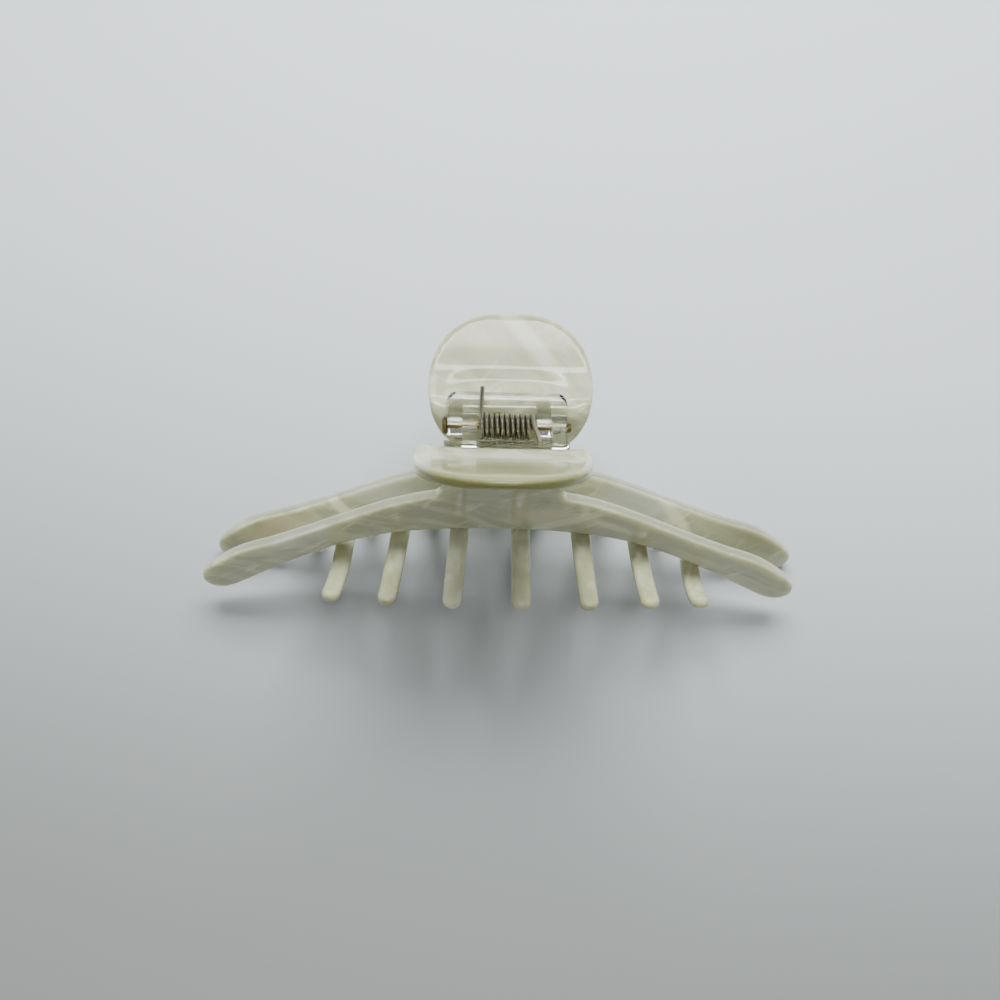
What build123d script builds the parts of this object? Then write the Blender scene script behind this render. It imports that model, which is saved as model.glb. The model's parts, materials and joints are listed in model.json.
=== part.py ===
from build123d import *
import math
import os

# A claw hair clip, closed: two pearl jaws that hinge on a metal pin and are sprung shut.
# It is modelled about its pin (x along the pin, y to the back, z up through the handles),
# then leaned and set down as it rests on a table. Lengths are in millimetres.

# Thumb plates
handle_radius = 14.6
handle_thickness = 1.8
handle_squareness = 2.3
handle_tip_slope = 29.0
handle_root_slope = 18.0
handle_bend_distance = 12.2
handle_bend_radius = 15.0
handle_centre_reach = 4.2
shoulder_distance = 5.9
shoulder_drop = 0.5
shoulder_radius = 2.6

# Neck and wings
neck_width = 21.4
neck_thickness = 2.2
neck_overlap_share = 0.8
neck_flare = 2.2
neck_flare_reach = 4.0
wing_half_length = 57.7
wing_thickness = 2.3
wing_root_drop = 11.6
wing_depth = 10.8
wing_top_spread = 3.7
wing_low_spread = 1.8
arch_drop = 16.7
jaw_offset = 0.6

# Teeth
tooth_count = 7
tooth_pitch = 11.1
tooth_width = 3.6
tooth_thickness = 2.2
tooth_reach = 18.4
tooth_reach_loss = 15.5
tooth_tip_drop = 26.8
tooth_outer_drop = 12.0
tooth_fan = 0.13
tooth_fan_limit = 40.0
tooth_crossing_clearance = 0.9
tooth_stagger = 0.225
tooth_root_height = 0.6
tooth_root_share = 0.7
tooth_root_taper = 3.0
tooth_root_outset = 0.1
tooth_crossing_share = 0.35
tooth_crossing_inset = 0.5

# Hinge
pin_diameter = 1.0
pin_clearance = 0.05
pin_head_diameter = 3.0
pin_head_thickness = 0.9
pin_crimp_diameter = 1.7
pin_head_rounding = 0.36
pin_crimp_rounding = 0.27
end_play = 0.08
ear_thickness = 2.45
ear_radius = 2.2
ear_gap = 0.1
ear_outer_face = 10.1
ear_stem_share = 0.9
ear_stem_drop = 0.5
pad_width = 21.2
pad_thickness = 0.9
pad_reach = 1.1
pad_fall = 5.6
pad_corner = 2.0
seat_gap = 0.03

# Spring
spring_wire = 0.8
spring_pitch = 0.88
spring_turns = 10
spring_pin_clearance = 1.0
spring_leg_reach = 7.4
spring_leg_side = 1.0
spring_leg_gap = 0.05
spring_leg_lead = 0.45
spring_leg_settle = 0.35
spring_leg_dip = 0.2

# Wing sections from the middle to the end: reach as a share of wing_half_length, fall of
# the top edge of arch_drop, depth of wing_depth, spread of the top and the low edge of
# wing_top_spread and wing_low_spread, and thickness of wing_thickness
WING_SECTIONS = [
    # reach, fall, depth, top spread, low spread, thickness
    (0.00, 0.000, 1.00, 1.00, 1.00, 1.00),
    (0.17, 0.035, 0.98, 1.00, 1.00, 1.00),
    (0.35, 0.205, 0.84, 1.01, 1.00, 1.00),
    (0.50, 0.435, 0.73, 1.04, 1.00, 1.00),
    (0.66, 0.690, 0.72, 1.08, 1.20, 1.00),
    (0.76, 0.830, 0.77, 1.11, 1.50, 1.00),
    (0.87, 0.985, 0.84, 1.14, 1.90, 1.00),
    (0.94, 1.160, 0.70, 1.14, 2.10, 0.95),
    (0.98, 1.290, 0.44, 1.12, 2.25, 0.80),
    (1.00, 1.400, 0.16, 1.08, 2.35, 0.45),
]

# Angles round the thumb plate's tip at which it has a section, and how many even sections
# follow from there down to the wings
TIP_ANGLES = (5, 14, 25, 38)
plate_sections = 26

# A tooth's even sections from its root, and those of its round tip as shares of half its width
tooth_sections = 12
TIP_SHARES = (1.0, 0.78, 0.54, 0.32, 0.15, 0.05)

# Radius of long edges as a share of the thickness
plate_rounding = 0.3
tooth_rounding = 0.42

first_lean = 36.0


def moved_corners(corners, shift):
    """The corners of a line in the YZ plane, with each run moved sideways by shift."""
    runs = []
    for (y0, z0), (y1, z1) in zip(corners, corners[1:]):
        length = math.hypot(y1 - y0, z1 - z0)
        step = ((y1 - y0) / length, (z1 - z0) / length)
        start = (y0 + step[1] * shift, z0 - step[0] * shift)
        runs.append((start, step, length))
    points = [runs[0][0]]
    for (p, d, _), (q, e, _) in zip(runs, runs[1:]):
        cross = d[0] * e[1] - d[1] * e[0]
        along = ((q[0] - p[0]) * e[1] - (q[1] - p[1]) * e[0]) / cross
        points.append((p[0] + d[0] * along, p[1] + d[1] * along))
    start, step, length = runs[-1]
    points.append((start[0] + step[0] * length, start[1] + step[1] * length))
    return points


def plate_corners():
    """Corners of the middle line of a jaw's plate: tip, bend, shoulder and wing's low edge."""
    tip_slope = math.radians(handle_tip_slope)
    root_slope = math.radians(handle_root_slope)
    root_run = (handle_bend_distance - shoulder_distance) / math.cos(root_slope)
    tip_run = handle_centre_reach + handle_radius - root_run
    bend = (handle_bend_distance, root_run * math.sin(root_slope) - shoulder_drop)
    tip = (bend[0] + tip_run * math.cos(tip_slope), bend[1] + tip_run * math.sin(tip_slope))
    shoulder = (shoulder_distance, -shoulder_drop)
    low = (wing_low_spread, -wing_root_drop - wing_depth)
    return [tip, bend, shoulder, low]


def plate_line(shift=0.0):
    """The line of a jaw's plate, moved by shift towards the pin."""
    points = [Vector(0, y, z) for y, z in moved_corners(plate_corners(), shift)]
    radii = [handle_bend_radius - shift, shoulder_radius + shift]
    return FilletPolyline(*points, radius=radii)


def handle_half_width(past_middle):
    """Half the width of the thumb plate and neck at a distance past the plate's middle."""
    share = min(abs(past_middle) / handle_radius, 1)
    round_part = handle_radius * (1 - share**handle_squareness) ** (1 / handle_squareness)
    if past_middle > 0:
        return max(round_part, neck_width / 2)
    return round_part


def handle_and_neck():
    """The round thumb plate, the shoulder and the neck down into the wings."""
    line = plate_line()
    neck_end = line.length - wing_depth * neck_overlap_share
    stations = [handle_radius * (1 - math.cos(math.radians(angle))) for angle in TIP_ANGLES]
    even_step = (neck_end - stations[-1]) / plate_sections
    for _ in range(plate_sections):
        stations.append(stations[-1] + even_step)
    sections = []
    for distance in stations:
        width = 2 * handle_half_width(distance - handle_radius)
        flare = max(1 - (neck_end - distance) / neck_flare_reach, 0)
        width += 2 * neck_flare * flare**2
        edge = min(distance / (handle_thickness / 2), 1)
        thickness = handle_thickness * math.sqrt(1 - (1 - edge) ** 2)
        if distance > handle_radius:
            share = (distance - handle_radius) / (neck_end - handle_radius)
            thickness += (neck_thickness - handle_thickness) * share
        place = Plane(
            origin=line.position_at(distance, PositionMode.LENGTH),
            x_dir=(1, 0, 0),
            z_dir=line.tangent_at(distance, PositionMode.LENGTH),
        )
        sections.append(place * RectangleRounded(width, thickness, thickness * plate_rounding))
    return loft(sections)


def wing_edges(reach):
    """Top and low edge of the wing's middle, as (y, z), and its thickness at a reach from 0 to 1."""
    rows = WING_SECTIONS
    index = 0
    while index < len(rows) - 2 and rows[index + 1][0] < reach:
        index += 1
    low_row, high_row = rows[index], rows[index + 1]
    share = (reach - low_row[0]) / (high_row[0] - low_row[0])
    fall, depth, top, low, thick = (a + (b - a) * share for a, b in zip(low_row[1:], high_row[1:]))
    top_z = -wing_root_drop - arch_drop * fall
    top_edge = (wing_top_spread * top, top_z)
    low_edge = (wing_low_spread * low, top_z - wing_depth * depth)
    return top_edge, low_edge, wing_thickness * thick


def wing_section(side, reach):
    """A section of the wings at a reach to one side, as a rounded strip."""
    (y0, z0), (y1, z1), thickness = wing_edges(reach)
    place = Plane(
        origin=(side * reach * wing_half_length, (y0 + y1) / 2, (z0 + z1) / 2),
        x_dir=(0, y0 - y1, z0 - z1),
        z_dir=(1, 0, 0),
    )
    return place * RectangleRounded(math.hypot(y0 - y1, z0 - z1), thickness, thickness * plate_rounding)


def wings():
    """Both wings of a jaw, end to end."""
    reaches = [row[0] for row in WING_SECTIONS]
    sections = [wing_section(-1, reach) for reach in reversed(reaches[1:])]
    sections += [wing_section(1, reach) for reach in reaches]
    return loft(sections)


def tooth(root_x):
    """One tooth, from inside the wing, under the other jaw and out to its round tip."""
    reach = abs(root_x) / wing_half_length
    _, (low_y, low_z), _ = wing_edges(reach)
    tip_reach = tooth_reach - tooth_reach_loss * reach**2
    tip_drop = tooth_tip_drop + tooth_outer_drop * reach**2
    fan = tooth_fan * (1 - (root_x / tooth_fan_limit) ** 2)
    root = Vector(root_x, low_y + tooth_root_outset, low_z + tooth_root_height)
    under_x = root_x * (1 + fan * tooth_crossing_share)
    far_side = (abs(under_x) + tooth_width / 2) / wing_half_length
    _, (other_y, other_z), _ = wing_edges(far_side)
    under_z = other_z - tooth_thickness / 2 - tooth_crossing_clearance
    under = Vector(under_x, -other_y - tooth_crossing_inset, under_z)
    tip = Vector(root_x * (1 + fan), -tip_reach, -tip_drop)
    early, late = 1 - tooth_crossing_share, tooth_crossing_share
    bow = (under - root * early**2 - tip * late**2) / (2 * early * late)
    line = Bezier(root, bow, tip)
    straight = line.length - tooth_width / 2
    stations = [straight * index / tooth_sections for index in range(tooth_sections)]
    stations += [line.length - tooth_width / 2 * share for share in TIP_SHARES]
    sections = []
    for distance in stations:
        left = line.length - distance
        width_share = min(left / (tooth_width / 2), 1)
        thick_share = min(left / (tooth_thickness / 2), 1)
        width = tooth_width * math.sqrt(1 - (1 - width_share) ** 2)
        thickness = tooth_thickness * math.sqrt(1 - (1 - thick_share) ** 2)
        taper = min(distance / tooth_root_taper, 1)
        thickness *= tooth_root_share + (1 - tooth_root_share) * taper
        place = Plane(
            origin=line.position_at(distance, PositionMode.LENGTH),
            x_dir=(1, 0, 0),
            z_dir=line.tangent_at(distance, PositionMode.LENGTH),
        )
        rounding = min(width, thickness) * tooth_rounding
        sections.append(place * RectangleRounded(width, thickness, rounding))
    return loft(sections)


def tooth_roots():
    """Where a jaw's teeth leave its wings, part of a pitch off its middle."""
    middle = (tooth_count - 1) / 2
    return [(index - middle + tooth_stagger) * tooth_pitch for index in range(tooth_count)]


def pad_profile():
    """Side profile of a bracket's pad, which lies on the inside of the plate's shoulder."""
    inner = plate_line(neck_thickness / 2 + seat_gap)
    outer = plate_line(neck_thickness / 2 + seat_gap + pad_thickness)
    ends = [Line(inner @ 0, outer @ 0), Line(inner @ 1, outer @ 1)]
    band = make_face(inner.edges() + outer.edges() + ends)
    top = shoulder_distance + pad_reach
    window = Plane.YZ * Pos(top / 2, -pad_fall / 2 + pad_reach) * Rectangle(top, pad_fall + 2 * pad_reach)
    return band & window


def ear_profile():
    """Side profile of an ear, from the pad round the pin."""
    knuckle = Plane.YZ * Circle(ear_radius)
    stem_height = 2 * ear_radius * ear_stem_share
    stem_middle = Pos(shoulder_distance / 2, -ear_stem_drop)
    stem = Plane.YZ * stem_middle * Rectangle(shoulder_distance, stem_height)
    plate = plate_line(neck_thickness / 2 + seat_gap)
    corner_a = Vector(0, (plate @ 1).Y + handle_radius, (plate @ 1).Z)
    corner_b = Vector(0, (plate @ 0).Y + handle_radius, (plate @ 0).Z)
    behind = make_face(
        plate.edges() + [Line(plate @ 1, corner_a), Line(corner_a, corner_b), Line(corner_b, plate @ 0)]
    )
    return knuckle + (stem - behind)


def rod(radius, length):
    """A round bar along the pin's line, about its middle."""
    return Rot(0, 90, 0) * Cylinder(radius, length)


def bracket():
    """The clear hinge bracket on a jaw: a pad and two ears, one outside and one inside."""
    pad = extrude(pad_profile(), pad_width / 2, dir=(1, 0, 0), both=True)
    pad_top = shoulder_distance + pad_reach
    from_above = RectangleRounded(pad_width, 2 * pad_top, pad_corner)
    from_inside = Plane.XZ * RectangleRounded(pad_width, 2 * pad_fall, pad_corner)
    pad = pad & extrude(from_above, 2 * pad_top, both=True) & extrude(from_inside, 2 * pad_top, both=True)
    outer_start = -ear_outer_face
    inner_start = ear_outer_face - 2 * ear_thickness - ear_gap
    solid = pad
    for start in (outer_start, inner_start):
        solid += Pos(start, 0, 0) * extrude(ear_profile(), ear_thickness, dir=(1, 0, 0))
    return solid - rod(pin_diameter / 2 + pin_clearance, pad_width * 2)


def hinge_pin():
    """The pin through all four ears, with a head on the left and a crimp on the right."""
    face = ear_outer_face + end_play
    middle = face + pin_head_thickness / 2
    head = rod(pin_head_diameter / 2, pin_head_thickness)
    crimp = rod(pin_crimp_diameter / 2, pin_head_thickness)
    head = Pos(-middle, 0, 0) * fillet(head.edges(), pin_head_rounding)
    crimp = Pos(middle, 0, 0) * fillet(crimp.edges(), pin_crimp_rounding)
    return rod(pin_diameter / 2, 2 * face + pin_head_thickness) + head + crimp


def spring_leg(coil_end, heading, side_step, landing):
    """A leg of the spring, from the coil's end to where it presses on a bracket's pad."""
    reach = abs(landing[0])
    leave = coil_end + heading * reach * spring_leg_lead
    end = Vector(coil_end.X + side_step, landing[0], landing[1])
    settle = end + Vector(0, -landing[0] * spring_leg_settle, -spring_leg_dip)
    path = Bezier(coil_end, leave, settle, end)
    section = Plane(origin=coil_end, z_dir=heading) * Circle(spring_wire / 2)
    return sweep(section, path=path)


def torsion_spring():
    """The coil round the pin, with a leg against each bracket."""
    coil_radius = pin_diameter / 2 + spring_pin_clearance + spring_wire / 2
    length = spring_pitch * spring_turns
    helix = Helix(spring_pitch, length, coil_radius, center=(-length / 2, 0, 0), direction=(1, 0, 0))
    start = helix @ 0
    helix = Rot(90 - math.degrees(math.atan2(start.Z, start.Y)), 0, 0) * helix
    section = Plane(origin=helix @ 0, z_dir=helix % 0) * Circle(spring_wire / 2)
    coil = sweep(section, path=helix)
    pad_top = neck_thickness / 2 + seat_gap + pad_thickness + spring_leg_gap + spring_wire / 2
    root_slope = math.radians(handle_root_slope)
    rise = (spring_leg_reach - shoulder_distance) * math.tan(root_slope) - shoulder_drop
    height = rise + pad_top / math.cos(root_slope)
    back_leg = spring_leg(helix @ 0, (helix % 0) * -1, 0, (spring_leg_reach, height))
    front_leg = spring_leg(helix @ 1, helix % 1, spring_leg_side, (-spring_leg_reach, height))
    return coil + [back_leg, front_leg]


def lowest(shape, lean):
    """Height of a shape's lowest point when the clip leans back."""
    return (Rot(-lean, 0, 0) * shape).bounding_box().min.Z


def resting_lean(teeth, wing):
    """The lean at which the front jaw's teeth and the back jaw's wing ends reach the table."""
    lean = first_lean
    lever = math.hypot(tooth_reach, wing_root_drop + arch_drop + wing_depth - tooth_tip_drop)
    for _ in range(6):
        lean += math.degrees((lowest(teeth, lean) - lowest(wing, lean)) / lever)
    return lean


def clip():
    """All pieces of the closed clip by name, as it lies on the table."""
    plates = handle_and_neck() + wings()
    teeth = [tooth(root_x) for root_x in tooth_roots()]
    jaw = Pos(jaw_offset, 0, 0) * (plates + teeth)
    turned = Rot(0, 0, 180)
    nodes = {
        "back_jaw": jaw,
        "front_jaw": turned * jaw,
        "back_bracket": bracket(),
        "front_bracket": turned * bracket(),
        "hinge_pin": hinge_pin(),
        "torsion_spring": torsion_spring(),
    }
    lean = resting_lean(turned * Compound(children=teeth), wings())
    leaned = Compound(children=[Rot(-lean, 0, 0) * shape for shape in nodes.values()])
    box = leaned.bounding_box()
    rest = Pos(-(box.min.X + box.max.X) / 2, -(box.min.Y + box.max.Y) / 2, -box.min.Z)
    print("lean", round(lean, 3), "pin at", rest.position)
    return {name: rest * Rot(-lean, 0, 0) * shape for name, shape in nodes.items()}


os.makedirs("parts", exist_ok=True)
for name, solid in clip().items():
    print(name, round(solid.volume, 1), len(solid.solids()), solid.is_valid)
    export_step(solid, f"parts/{name}.step")
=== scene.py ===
"""Looks of a claw hair clip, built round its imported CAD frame."""

import json
import math

import bmesh
import bpy
from mathutils import Matrix, Vector


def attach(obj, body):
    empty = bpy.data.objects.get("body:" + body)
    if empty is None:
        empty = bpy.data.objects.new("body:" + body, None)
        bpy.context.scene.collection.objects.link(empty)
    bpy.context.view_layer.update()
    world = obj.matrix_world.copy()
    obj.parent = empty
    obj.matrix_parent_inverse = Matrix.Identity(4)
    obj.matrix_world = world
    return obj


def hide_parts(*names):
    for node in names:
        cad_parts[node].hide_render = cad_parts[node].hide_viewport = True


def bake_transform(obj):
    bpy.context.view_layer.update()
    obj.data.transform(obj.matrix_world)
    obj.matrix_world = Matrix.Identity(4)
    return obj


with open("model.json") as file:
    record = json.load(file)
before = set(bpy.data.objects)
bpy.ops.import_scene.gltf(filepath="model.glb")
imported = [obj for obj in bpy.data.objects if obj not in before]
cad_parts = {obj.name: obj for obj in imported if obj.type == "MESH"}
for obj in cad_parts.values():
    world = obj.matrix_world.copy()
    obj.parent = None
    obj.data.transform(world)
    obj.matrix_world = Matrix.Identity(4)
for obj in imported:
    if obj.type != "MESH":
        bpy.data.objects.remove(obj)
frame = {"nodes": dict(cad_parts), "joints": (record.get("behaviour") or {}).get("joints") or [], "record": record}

bl_info = {
    "name": "Claw hair clip looks",
    "version": (1, 0, 0),
    "blender": (4, 5, 0),
    "location": "3D View > Sidebar > Clip",
    "description": "Builds the looks of a pearl claw hair clip round its packed frame",
    "category": "Object",
}

# The clip's own axes: x along the pin, y to the back and z up through the thumb plates,
# from the pin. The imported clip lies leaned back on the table.
PIN = Vector(frame["joints"][0]["pos_m"])
GRIP_AXIS = frame["record"]["mounts"][0]["axis"]
LEAN = math.atan2(-GRIP_AXIS[1], -GRIP_AXIS[2])
BACK, FRONT = "back_half", "front_half"
MM = 0.001
MERGE_DISTANCE = 0.002 * MM

# The photo's camera in the clip's own axes: how far it looks down, its small turn and roll
# in degrees, and the pin's place across, up and along its view in millimetres
CAMERA_DOWN, CAMERA_TURN, CAMERA_ROLL = 43.97, -0.76, 1.81
CAMERA_ACROSS, CAMERA_UP, CAMERA_AWAY = 0.78, 12.66, 154.70
CAMERA_LENS, CAMERA_SENSOR = 32.4, 36
CAMERA_RANGE = (0.005, 10)

# Studio lights: name, place, target, size, power in watts, colour and whether it shows in reflections
LIGHTS = [
    ("window", (0.03, 0.27, 0.32), (0, 0, 0.01), (0.36, 0.17), 4.9, (0.98, 0.99, 1.0), False),
    ("glint", (0.0, 0.30, 0.40), (0, 0.01, 0.03), (0.42, 0.045), 0.75, (1.0, 1.0, 0.98), True),
    ("spark", (0.02, -0.03, 0.45), (0, 0, 0.01), (0.12, 0.05), 0.3, (1.0, 1.0, 0.98), True),
    ("front", (-0.08, -0.42, 0.2), (0, 0, 0.02), (0.4, 0.25), 0.3, (1.0, 0.99, 0.93), False),
]
SKY_COLOUR, SKY_STRENGTH = (0.95, 0.98, 1.0, 1), 0.22

# The table, with painted shade that darkens it towards the viewer: where the painted shade ends and starts, its
# slant across the view, and what is left of the floor's red, green and blue in it
TABLE_HALF_SIZE = 1.5
SHADE_END, SHADE_START, SHADE_SLANT = -0.10, 0.05, 0.15
SHADE_LEFT = (0.48, 0.475, 0.45, 1)

# The pearl's grain, as broad swirls and fine streaks: size in millimetres, turn in degrees, how
# much it bends, and the range of the noise over which the colours change
SWIRL_SIZE, SWIRL_TURN, SWIRL_BEND, SWIRL_RANGE = (16, 9, 5), (0, 24, 8), 1.6, (0.40, 0.62)
STREAK_SIZE, STREAK_TURN, STREAK_BEND, STREAK_RANGE = (9, 6, 1.6), (0, -32, 12), 0.8, (0.54, 0.70)
STREAK_STRENGTH = 0.55
FRONT_GRAIN_SHIFT = 40
PATCH_FADE = (0.45, 1.15)

# The painted shade on the wings' rims, darker where they face up: its strength, how far a rim has to face up,
# where it starts past the teeth, and where and how much it fades up to the thumb plates, in millimetres from the
# pin
RIM_PAINTED_SHADE_STRENGTH = 0.8
RIM_FACING_UP = (0.6, 0.95)
RIM_PAST_TEETH = (-3, 0)
RIM_BELOW_HANDLES = (-8, -2)
RIM_HANDLE_FADE = 0.75

# Drawn marks in the metal: their size in millimetres, the range of the noise over which they
# change, what is left of the colour in the darkest, and how much they roughen it
MARK_SIZE, MARK_RANGE = (0.4, 0.12, 0.12), (0.35, 0.65)
MARK_DARKNESS, MARK_ROUGHNESS = 0.55, 0.2
PIN_ROUGHNESS, SPRING_ROUGHNESS = 0.28, 0.2

# The shallow dish's outline is a squared oval. Its rim rises between two shares of that oval,
# beyond the hinge bracket and where the plate faces up
DISH_SQUARENESS = 4
DISH_RISE = (0.84, 1.08)
DISH_BEYOND_BRACKET = (0.005, 0.007)
DISH_FACING_UP = (0.3, 0.7)


def to_world(x, y, z):
    """A point in the clip's own axes in millimetres, as a point of the frame in metres."""
    turn = Matrix.Rotation(-LEAN, 3, "X")
    return turn @ Vector((x, y, z)) * MM + PIN


class Signal:
    """A shader output that can be added, subtracted and multiplied like a number."""

    def __init__(self, maker, socket):
        self.maker = maker
        self.socket = socket

    def math(self, operation, first, second):
        """A maths node on two values."""
        return self.maker.node("ShaderNodeMath", {"operation": operation}, {0: first, 1: second})

    def __add__(self, other):
        return self.math("ADD", self, other)

    def __radd__(self, other):
        return self.math("ADD", other, self)

    def __sub__(self, other):
        return self.math("SUBTRACT", self, other)

    def __rsub__(self, other):
        return self.math("SUBTRACT", other, self)

    def __mul__(self, other):
        return self.math("MULTIPLY", self, other)

    def __rmul__(self, other):
        return self.math("MULTIPLY", other, self)

    def ramp(self, low, high):
        """Rises smoothly from 0 at low to 1 at high."""
        settings = {"interpolation_type": "SMOOTHSTEP"}
        return self.maker.node("ShaderNodeMapRange", settings, {0: self, 1: low, 2: high})


class MaterialMaker:
    """Makes the nodes of one material."""

    def __init__(self, name):
        self.material = bpy.data.materials.new(name)
        self.material.use_nodes = True
        self.tree = self.material.node_tree
        self.surface = self.tree.nodes["Principled BSDF"]

    def node(self, kind, settings=None, inputs=None, output=0):
        """A new node's output, with its settings made first and its inputs linked or set."""
        made = self.tree.nodes.new(kind)
        for name, value in (settings or {}).items():
            setattr(made, name, value)
        self.fill(made, inputs or {})
        return Signal(self, made.outputs[output])

    def fill(self, made, inputs):
        """Links or sets a node's inputs."""
        for name, value in inputs.items():
            if isinstance(value, Signal):
                self.tree.links.new(value.socket, made.inputs[name])
            else:
                made.inputs[name].default_value = value

    def finish(self, **inputs):
        """Sets the surface shader and returns the material."""
        self.fill(self.surface, {name.replace("_", " "): value for name, value in inputs.items()})
        return self.material

    def place(self):
        """The shaded point in the clip's own axes, in millimetres."""
        point = self.node("ShaderNodeTexCoord", output="Object")
        moved = self.node("ShaderNodeVectorMath", {"operation": "SUBTRACT"}, {0: point, 1: PIN})
        scale = {"Vector": self.leaned(moved), "Scale": (1 / MM, 1 / MM, 1 / MM)}
        return self.node("ShaderNodeMapping", {"vector_type": "POINT"}, scale)

    def leaned(self, vector):
        """A vector of the frame in the clip's own axes."""
        turn = {"rotation_type": "X_AXIS"}
        return self.node("ShaderNodeVectorRotate", turn, {"Vector": vector, "Angle": LEAN})

    def upward(self):
        """How far the surface faces up in the clip's own axes."""
        normal = self.node("ShaderNodeTexCoord", output="Normal")
        return self.split(self.leaned(normal))[2]

    def stretched(self, point, size, turn=(0, 0, 0)):
        """The point for a grain of a size in millimetres along each axis, turned by degrees."""
        inputs = {"Vector": point, "Rotation": [math.radians(a) for a in turn], "Scale": size}
        return self.node("ShaderNodeMapping", {"vector_type": "TEXTURE"}, inputs)

    def noise(self, point, distortion=0.0):
        """Soft noise at a point, about 0.5."""
        inputs = {"Vector": point, "Scale": 1.0, "Detail": 3.0, "Distortion": distortion}
        return self.node("ShaderNodeTexNoise", None, inputs)

    def mix(self, share, first, second):
        """Two colours mixed by a share."""
        settings = {"data_type": "RGBA"}
        return self.node("ShaderNodeMix", settings, {0: share, 6: first, 7: second}, output=2)

    def split(self, point):
        """The x, y and z of a point."""
        parts = self.node("ShaderNodeSeparateXYZ", None, {0: point})
        return [Signal(self, output) for output in parts.socket.node.outputs]

    def patch(self, point, centre, half_size, angle):
        """1 inside a soft oval patch and 0 outside: place and size in millimetres, angle in degrees."""
        inputs = {
            "Vector": point,
            "Location": centre,
            "Rotation": (0, math.radians(-angle), 0),
            "Scale": half_size,
        }
        local = self.node("ShaderNodeMapping", {"vector_type": "TEXTURE"}, inputs)
        distance = self.node("ShaderNodeVectorMath", {"operation": "LENGTH"}, {0: local}, output=1)
        return 1 - distance.ramp(*PATCH_FADE)


# Soft patches of the pearl, some swirls of its grain and some painted shade and painted light: colour's name,
# centre, half size, angle from the pin's line and strength
BACK_PATCHES = [
    # Painted shade on the back jaw's thumb plate end
    ("painted_shade_colour", (0, 19.0, 0), (26.0, 9.0, 60.0), 0, 0.5),
    # Painted light on the back jaw's middle teeth
    ("streak_and_painted_light_colour", (-6.0, -14.0, -22.0), (14.0, 16.0, 24.0), 0, 0.3),
    # This and the next patch: painted shade on the back jaw's outer teeth
    ("painted_shade_colour", (-29.0, -14.0, -22.0), (18.0, 16.0, 24.0), 0, 0.5),
    ("painted_shade_colour", (26.0, -14.0, -22.0), (28.0, 16.0, 24.0), 0, 0.5),
    ("gold_colour", (-44.0, 0, -29.5), (10.0, 40.0, 3.0), 28, 0.7),
    ("streak_and_painted_light_colour", (-31.0, 0, -22.5), (5.0, 40.0, 1.4), -42, 0.9),
    ("blue_colour", (-22.0, 0, -17.5), (10.0, 40.0, 4.0), 10, 0.6),
    ("blue_colour", (26.0, 0, -19.0), (10.0, 40.0, 5.0), -12, 0.7),
    ("streak_and_painted_light_colour", (33.0, 0, -23.0), (6.0, 40.0, 1.3), -50, 0.8),
    ("olive_colour", (46.0, 0, -29.0), (10.0, 40.0, 5.0), -20, 0.6),
    ("streak_and_painted_light_colour", (3.0, 0, 6.5), (12.0, 40.0, 1.5), -30, 0.45),
]
FRONT_PATCHES = [
    # Painted shade on the front jaw's thumb plate end
    ("painted_shade_colour", (0, -21.5, 0), (30.0, 10.0, 60.0), 0, 1.0),
    # Painted shade on the front jaw's teeth
    ("painted_shade_colour", (0, 17.0, -24.0), (60.0, 13.0, 20.0), 0, 0.5),
    ("blue_colour", (-38.0, 0, -24.0), (9.0, 40.0, 2.5), 22, 0.5),
    ("olive_colour", (30.0, 0, -22.0), (14.0, 40.0, 5.0), -16, 0.5),
    ("streak_and_painted_light_colour", (12.0, 0, -19.0), (9.0, 40.0, 1.3), 25, 0.5),
    ("gold_colour", (6.0, 0, -18.0), (8.0, 40.0, 2.5), 5, 0.6),
    ("streak_and_painted_light_colour", (20.0, 0, -20.0), (6.0, 40.0, 1.0), -25, 0.4),
]


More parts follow.
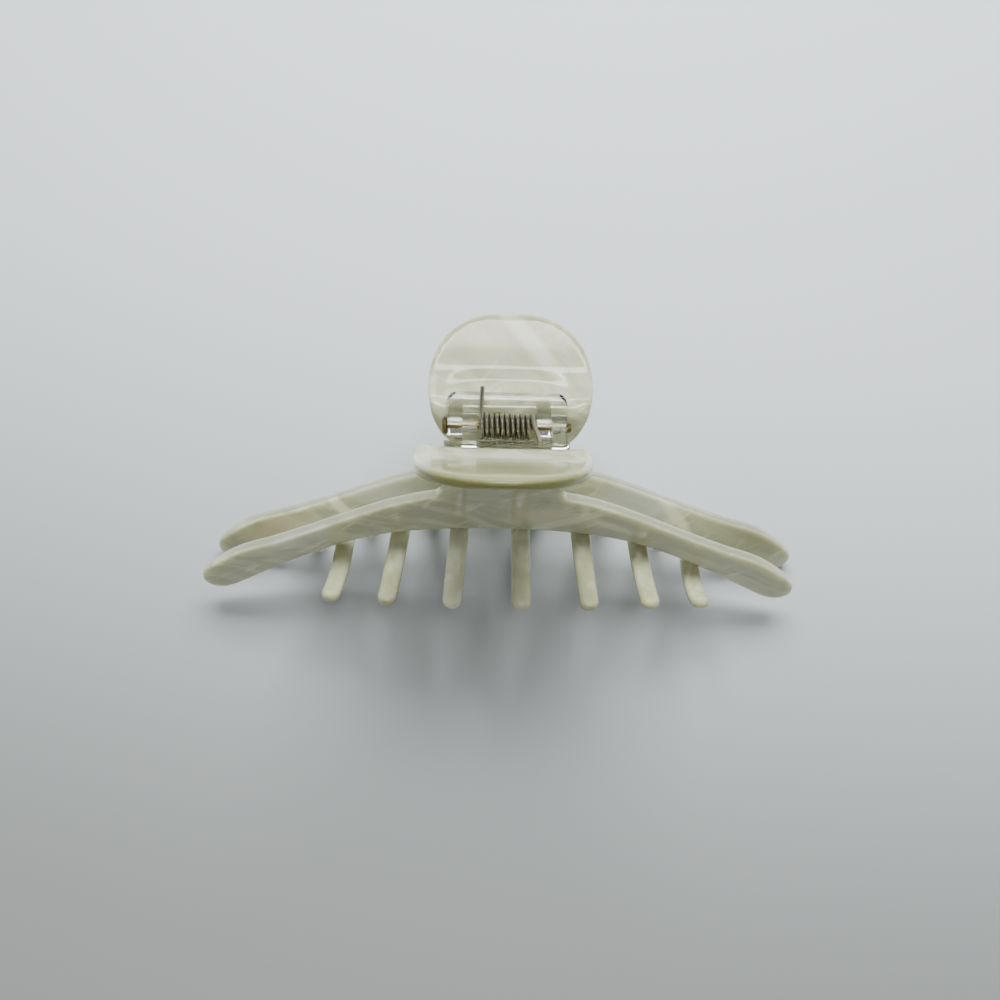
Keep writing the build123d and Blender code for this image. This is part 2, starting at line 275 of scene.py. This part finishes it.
class ClipSettings(bpy.types.PropertyGroup):
    """Sizes and colours of the clip's looks."""

    pearl_colour: bpy.props.FloatVectorProperty(
        name="Pearl",
        description="Colour of the pearl plastic",
        subtype="COLOR",
        size=4,
        default=(0.48, 0.50, 0.36, 1),
    )
    # Colour of the pearl's bright streaks, also used as painted light on the middle teeth
    streak_and_painted_light_colour: bpy.props.FloatVectorProperty(
        name="White streak",
        description="Colour of the pearl's brightest streaks and of painted light on its middle teeth",
        subtype="COLOR",
        size=4,
        default=(0.69, 0.70, 0.56, 1),
    )
    olive_colour: bpy.props.FloatVectorProperty(
        name="Olive",
        description="Colour of the pearl's dark swirls",
        subtype="COLOR",
        size=4,
        default=(0.39, 0.40, 0.28, 1),
    )
    blue_colour: bpy.props.FloatVectorProperty(
        name="Blue grey",
        description="Colour of the pearl's cool swirls",
        subtype="COLOR",
        size=4,
        default=(0.50, 0.53, 0.49, 1),
    )
    gold_colour: bpy.props.FloatVectorProperty(
        name="Warm swirl",
        description="Colour of the pearl's warm swirls",
        subtype="COLOR",
        size=4,
        default=(0.58, 0.54, 0.38, 1),
    )
    # Painted shade: the darker colour laid on the plate ends and teeth
    painted_shade_colour: bpy.props.FloatVectorProperty(
        name="Painted shade",
        description="Colour of painted shade on the pearl's rims and teeth",
        subtype="COLOR",
        size=4,
        default=(0.21, 0.22, 0.10, 1),
    )
    # Painted shade laid on the rims where they face up
    rim_painted_shade_colour: bpy.props.FloatVectorProperty(
        name="Rim",
        description="Colour of painted shade on the pearl's rims, where they face up",
        subtype="COLOR",
        size=4,
        default=(0.20, 0.21, 0.16, 1),
    )
    brass_colour: bpy.props.FloatVectorProperty(
        name="Brass",
        description="Colour of the hinge pin",
        subtype="COLOR",
        size=4,
        default=(0.24, 0.19, 0.08, 1),
    )
    spring_colour: bpy.props.FloatVectorProperty(
        name="Spring",
        description="Colour of the spring's wire",
        subtype="COLOR",
        size=4,
        default=(0.44, 0.41, 0.30, 1),
    )
    floor_colour: bpy.props.FloatVectorProperty(
        name="Floor",
        description="Colour of the table",
        subtype="COLOR",
        size=4,
        default=(0.52, 0.56, 0.575, 1),
    )
    dish_half_width: bpy.props.FloatProperty(
        name="Dish half width",
        description="Half width of the shallow dish on each thumb plate",
        subtype="DISTANCE",
        default=0.013,
        precision=4,
    )
    dish_start: bpy.props.FloatProperty(
        name="Dish start",
        description="Where the dish's rim starts to curve, from the pin",
        subtype="DISTANCE",
        default=0.001,
        precision=4,
    )
    dish_reach: bpy.props.FloatProperty(
        name="Dish reach",
        description="From the dish's start to its rim, away from the pin",
        subtype="DISTANCE",
        default=0.0108,
        precision=4,
    )
    dish_depth: bpy.props.FloatProperty(
        name="Dish depth",
        description="Depth of the shallow dish on each thumb plate",
        subtype="DISTANCE",
        default=0.0004,
        precision=5,
    )
    skin_size: bpy.props.FloatProperty(
        name="Skin size",
        description="Grid of the smooth skin over the jaws",
        subtype="DISTANCE",
        default=0.00028,
        precision=5,
    )
    skin_smoothing: bpy.props.IntProperty(
        name="Skin smoothing",
        description="Smoothing steps of the skin over the jaws",
        default=8,
    )


def settings():
    """The clip's settings."""
    return bpy.context.scene.clip_settings


def merged_copy(node, name):
    """A copy of a CAD node's mesh with its loose triangles joined."""
    mesh = bpy.data.meshes.new(name)
    work = bmesh.new()
    work.from_mesh(frame["nodes"][node].data)
    bmesh.ops.remove_doubles(work, verts=work.verts, dist=MERGE_DISTANCE)
    for face in work.faces:
        face.smooth = True
        face.material_index = 0
    work.to_mesh(mesh)
    work.free()
    for layer in ("custom_normal", "sharp_edge"):
        if layer in mesh.attributes:
            mesh.attributes.remove(mesh.attributes[layer])
    piece = bpy.data.objects.new(name, mesh)
    bpy.context.scene.collection.objects.link(piece)
    return piece


def smooth_rise(value, low, high):
    """Rises smoothly from 0 at low to 1 at high."""
    share = min(max((value - low) / (high - low), 0), 1)
    return share * share * (3 - 2 * share)


def dish_rim(point, normal, side):
    """How far the rim round the shallow dish stands up at a point on the inside of a thumb plate."""
    looks = settings()
    across = abs(point.x) / looks.dish_half_width
    along = max((point.y * side - looks.dish_start) / looks.dish_reach, 0)
    oval = (across**DISH_SQUARENESS + along**DISH_SQUARENESS) ** (1 / DISH_SQUARENESS)
    outside = smooth_rise(oval, *DISH_RISE)
    on_plate = smooth_rise(point.y * side, *DISH_BEYOND_BRACKET)
    inside = smooth_rise(normal.z, *DISH_FACING_UP)
    return looks.dish_depth * outside * on_plate * inside


def press_dish(piece, side):
    """Finishes a jaw's skin, with the rim round the shallow dish raised on its thumb plate."""
    finished = piece.evaluated_get(bpy.context.evaluated_depsgraph_get())
    mesh = bpy.data.meshes.new_from_object(finished)
    turn = Matrix.Rotation(LEAN, 3, "X")
    work = bmesh.new()
    work.from_mesh(mesh)
    work.normal_update()
    moves = [dish_rim(turn @ (v.co - PIN), turn @ v.normal, side) for v in work.verts]
    for vertex, distance in zip(work.verts, moves):
        vertex.co += vertex.normal * distance
    work.to_mesh(mesh)
    work.free()
    piece.modifiers.clear()
    piece.data = mesh


def pearl_material(name, patches, shift, side):
    """Milky pearl plastic with streaks, soft patches of which some are painted shade and painted light, and
    painted shade on the rims where they face up.
    """
    looks = settings()
    maker = MaterialMaker(name)
    point = maker.place()
    shifted = maker.node("ShaderNodeVectorMath", {"operation": "ADD"}, {0: point, 1: (shift, shift, 0)})
    swirl = maker.noise(maker.stretched(shifted, SWIRL_SIZE, SWIRL_TURN), SWIRL_BEND)
    streak = maker.noise(maker.stretched(shifted, STREAK_SIZE, STREAK_TURN), STREAK_BEND)
    colour = maker.mix(swirl.ramp(*SWIRL_RANGE), looks.olive_colour, looks.pearl_colour)
    colour = maker.mix(streak.ramp(*STREAK_RANGE) * STREAK_STRENGTH, colour, looks.streak_and_painted_light_colour)
    for key, centre, half_size, angle, strength in patches:
        share = maker.patch(point, centre, half_size, angle) * strength
        colour = maker.mix(share, colour, getattr(looks, key))
    _, y, z = maker.split(point)
    # Painted shade on the rims: where the surface faces up, off the teeth and less on the thumb plates, the colour
    # darkens
    off_teeth = (y * side).ramp(*RIM_PAST_TEETH)
    off_handles = 1 - z.ramp(*RIM_BELOW_HANDLES) * RIM_HANDLE_FADE
    rim = maker.upward().ramp(*RIM_FACING_UP) * (off_teeth * off_handles)
    colour = maker.mix(rim * RIM_PAINTED_SHADE_STRENGTH, colour, looks.rim_painted_shade_colour)
    return maker.finish(
        Base_Color=colour,
        Roughness=0.14,
        IOR=1.49,
        Subsurface_Weight=0.8,
        Subsurface_Radius=(1.0, 0.92, 0.62),
        Subsurface_Scale=0.0045,
        Coat_Weight=0.6,
        Coat_Roughness=0.04,
    )


def clear_material():
    """Clear moulded plastic."""
    maker = MaterialMaker("clear_plastic")
    return maker.finish(
        Base_Color=(0.98, 0.99, 0.96, 1),
        Roughness=0.03,
        IOR=1.34,
        Transmission_Weight=1.0,
    )


def metal_material(name, colour, roughness):
    """Metal with faint drawn marks."""
    maker = MaterialMaker(name)
    point = maker.place()
    marks = maker.noise(maker.stretched(point, MARK_SIZE))
    dark = [tone * MARK_DARKNESS for tone in colour[:3]] + [1]
    return maker.finish(
        Base_Color=maker.mix(marks.ramp(*MARK_RANGE), dark, colour),
        Roughness=marks * MARK_ROUGHNESS + roughness,
        Metallic=1.0,
    )


def dress(piece, material):
    """Gives a piece one material."""
    piece.data.materials.clear()
    piece.data.materials.append(material)


class CLIP_OT_jaws(bpy.types.Operator):
    """Build the two pearl jaws with a smooth skin"""

    bl_idname = "clip.jaws"
    bl_label = "Jaws"

    def execute(self, context):
        looks = settings()
        for half, body, patches, shift, side in (
            ("back", BACK, BACK_PATCHES, 0, 1),
            ("front", FRONT, FRONT_PATCHES, FRONT_GRAIN_SHIFT, -1),
        ):
            jaw = merged_copy(f"{half}_jaw", f"{half}_jaw_skin")
            skin = jaw.modifiers.new("Skin", "REMESH")
            skin.mode = "VOXEL"
            skin.voxel_size = looks.skin_size
            skin.use_smooth_shade = True
            smooth = jaw.modifiers.new("Smooth", "SMOOTH")
            smooth.factor = 0.5
            smooth.iterations = looks.skin_smoothing
            press_dish(jaw, side)
            dress(jaw, pearl_material(f"pearl_{half}", patches, shift, side))
            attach(jaw, body)
            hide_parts(f"{half}_jaw")
        return {"FINISHED"}


class CLIP_OT_brackets(bpy.types.Operator):
    """Give the two hinge brackets their clear plastic"""

    bl_idname = "clip.brackets"
    bl_label = "Brackets"

    def execute(self, context):
        clear = clear_material()
        for node in ("back_bracket", "front_bracket"):
            dress(frame["nodes"][node], clear)
        return {"FINISHED"}


class CLIP_OT_pin(bpy.types.Operator):
    """Give the hinge pin its brass"""

    bl_idname = "clip.pin"
    bl_label = "Pin"

    def execute(self, context):
        brass = metal_material("pin_brass", settings().brass_colour, PIN_ROUGHNESS)
        dress(frame["nodes"]["hinge_pin"], brass)
        return {"FINISHED"}


class CLIP_OT_spring(bpy.types.Operator):
    """Build the spring's wire"""

    bl_idname = "clip.spring"
    bl_label = "Spring"

    def execute(self, context):
        spring = merged_copy("torsion_spring", "spring_wire")
        dress(spring, metal_material("spring_steel", settings().spring_colour, SPRING_ROUGHNESS))
        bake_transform(spring)
        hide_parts("torsion_spring")
        return {"FINISHED"}


def camera_axes():
    """The camera's right, up and backward directions and its place, in the frame."""
    down, turn, roll = (math.radians(a) for a in (CAMERA_DOWN, CAMERA_TURN, CAMERA_ROLL))
    right = Vector((math.cos(turn), math.sin(turn), 0))
    up = Vector((-math.sin(turn) * math.sin(down), math.cos(turn) * math.sin(down), math.cos(down)))
    ahead = Vector((-math.sin(turn) * math.cos(down), math.cos(turn) * math.cos(down), -math.sin(down)))
    place = -(right * CAMERA_ACROSS + up * CAMERA_UP + ahead * CAMERA_AWAY)
    rolled_right = right * math.cos(roll) + up * math.sin(roll)
    rolled_up = up * math.cos(roll) - right * math.sin(roll)
    lean = Matrix.Rotation(-LEAN, 3, "X")
    return lean @ rolled_right, lean @ rolled_up, lean @ -ahead, to_world(*place)


def add_light(name, place, target, size, power, colour, shows):
    """A soft light with straight sides that faces a target."""
    data = bpy.data.lights.new(name, "AREA")
    data.shape = "RECTANGLE"
    data.size, data.size_y = size
    data.energy = power
    data.color = colour
    light = bpy.data.objects.new(name, data)
    light.location = place
    light.rotation_euler = (Vector(target) - Vector(place)).to_track_quat("-Z", "Y").to_euler()
    light.visible_glossy = shows
    bpy.context.scene.collection.objects.link(light)


def add_table():
    """The pale table under the clip."""
    floor = settings().floor_colour
    mesh = bpy.data.meshes.new("table")
    work = bmesh.new()
    bmesh.ops.create_grid(work, x_segments=1, y_segments=1, size=TABLE_HALF_SIZE)
    work.to_mesh(mesh)
    work.free()
    table = bpy.data.objects.new("table", mesh)
    bpy.context.scene.collection.objects.link(table)
    maker = MaterialMaker("table_top")
    x, y, _ = maker.split(maker.node("ShaderNodeTexCoord", output="Object"))
    # Painted shade: the floor colour darkens towards the viewer
    lit = (y + x * SHADE_SLANT).ramp(SHADE_END, SHADE_START)
    shaded_floor = [tone * left for tone, left in zip(floor, SHADE_LEFT)]
    dress(table, maker.finish(Base_Color=maker.mix(lit, shaded_floor, floor), Roughness=0.6))


def add_sky():
    """The even light of the room."""
    world = bpy.data.worlds.new("studio")
    world.use_nodes = True
    sky = world.node_tree.nodes["Background"]
    sky.inputs["Color"].default_value = SKY_COLOUR
    sky.inputs["Strength"].default_value = SKY_STRENGTH
    bpy.context.scene.world = world


def add_camera():
    """The camera, at the photo's viewing angle."""
    right, up, back, place = camera_axes()
    data = bpy.data.cameras.new("camera")
    data.sensor_width = CAMERA_SENSOR
    data.lens = CAMERA_LENS
    data.clip_start, data.clip_end = CAMERA_RANGE
    camera = bpy.data.objects.new("camera", data)
    turn = Matrix((right, up, back)).transposed()
    camera.matrix_world = Matrix.Translation(place) @ turn.to_4x4()
    bpy.context.scene.collection.objects.link(camera)
    bpy.context.scene.camera = camera


class CLIP_OT_stage(bpy.types.Operator):
    """Build the table, the lights and the camera"""

    bl_idname = "clip.stage"
    bl_label = "Stage"

    def execute(self, context):
        add_table()
        add_sky()
        for light in LIGHTS:
            add_light(*light)
        add_camera()
        return {"FINISHED"}


class CLIP_PT_panel(bpy.types.Panel):
    """The clip's sizes, colours and build steps"""

    bl_idname = "CLIP_PT_panel"
    bl_label = "Claw hair clip"
    bl_space_type = "VIEW_3D"
    bl_region_type = "UI"
    bl_category = "Clip"

    def draw(self, context):
        layout = self.layout
        looks = context.scene.clip_settings
        for name in looks.bl_rna.properties.keys():
            if name not in ("rna_type", "name"):
                layout.prop(looks, name)
        for step in STEPS:
            layout.operator(step.bl_idname)


STEPS = (CLIP_OT_jaws, CLIP_OT_brackets, CLIP_OT_pin, CLIP_OT_spring, CLIP_OT_stage)
CLASSES = (ClipSettings, *STEPS, CLIP_PT_panel)


def register():
    """Adds the classes and the settings."""
    for entry in CLASSES:
        bpy.utils.register_class(entry)
    bpy.types.Scene.clip_settings = bpy.props.PointerProperty(type=ClipSettings)


def unregister():
    """Takes the classes and the settings away."""
    del bpy.types.Scene.clip_settings
    for entry in reversed(CLASSES):
        bpy.utils.unregister_class(entry)


def main():
    """Builds everything in order."""
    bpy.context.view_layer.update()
    register()
    bpy.ops.clip.jaws()
    bpy.ops.clip.brackets()
    bpy.ops.clip.pin()
    bpy.ops.clip.spring()
    bpy.ops.clip.stage()


if __name__ == "__main__":
    main()
